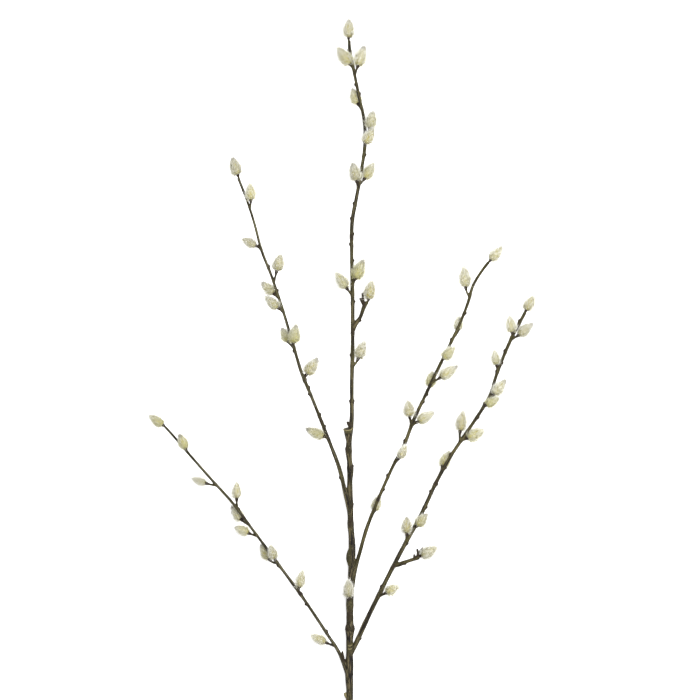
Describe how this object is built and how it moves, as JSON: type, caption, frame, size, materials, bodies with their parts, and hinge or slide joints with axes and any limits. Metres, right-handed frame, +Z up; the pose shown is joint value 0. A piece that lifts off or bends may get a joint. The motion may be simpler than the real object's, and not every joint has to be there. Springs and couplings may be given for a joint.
{
  "type": "willow twig",
  "caption": "Cut spray of pussy willow lying flat: a thin branching bark-covered stem with side branches and spurs, carrying silky cream catkins on short stalks.",
  "frame": {"origin": "centre of the twig's outline on the table that it lies on", "axes": "+Y along the leader from the cut end to the tip, +X to the right in the picture, +Z up from the table"},
  "size_m": [0.3848, 0.6953, 0.0691],
  "materials": {
    "bark": "matte",
    "silk": "matte"
  },
  "bodies": {
    "root": {"twig_wood": "bark", "catkin_inner_right_01": "silk", "catkin_inner_right_02": "silk", "catkin_inner_right_03": "silk", "catkin_inner_right_04": "silk", "catkin_inner_right_05": "silk", "catkin_inner_right_06": "silk", "catkin_inner_right_07": "silk", "catkin_inner_right_08": "silk", "catkin_inner_right_09": "silk", "catkin_inner_right_10": "silk", "catkin_leader_01": "silk", "catkin_leader_02": "silk", "catkin_leader_03": "silk", "catkin_leader_04": "silk", "catkin_leader_05": "silk", "catkin_leader_06": "silk", "catkin_leader_07": "silk", "catkin_leader_08": "silk", "catkin_leader_09": "silk", "catkin_leader_10": "silk", "catkin_leader_11": "silk", "catkin_leader_12": "silk", "catkin_leader_spur_01": "silk", "catkin_lower_left_01": "silk", "catkin_lower_left_02": "silk", "catkin_lower_left_03": "silk", "catkin_lower_left_04": "silk", "catkin_lower_left_05": "silk", "catkin_lower_left_06": "silk", "catkin_lower_left_07": "silk", "catkin_lower_left_08": "silk", "catkin_lower_left_09": "silk", "catkin_lower_left_10": "silk", "catkin_outer_right_01": "silk", "catkin_outer_right_02": "silk", "catkin_outer_right_03": "silk", "catkin_outer_right_04": "silk", "catkin_outer_right_05": "silk", "catkin_outer_right_06": "silk", "catkin_outer_right_07": "silk", "catkin_outer_right_08": "silk", "catkin_outer_right_09": "silk", "catkin_outer_right_10": "silk", "catkin_outer_right_11": "silk", "catkin_outer_right_12": "silk", "catkin_outer_spur_01": "silk", "catkin_upper_left_01": "silk", "catkin_upper_left_02": "silk", "catkin_upper_left_03": "silk", "catkin_upper_left_04": "silk", "catkin_upper_left_05": "silk", "catkin_upper_left_06": "silk", "catkin_upper_left_07": "silk", "catkin_upper_left_08": "silk", "catkin_upper_left_09": "silk", "catkin_upper_left_10": "silk"}
  },
  "joints": []
}
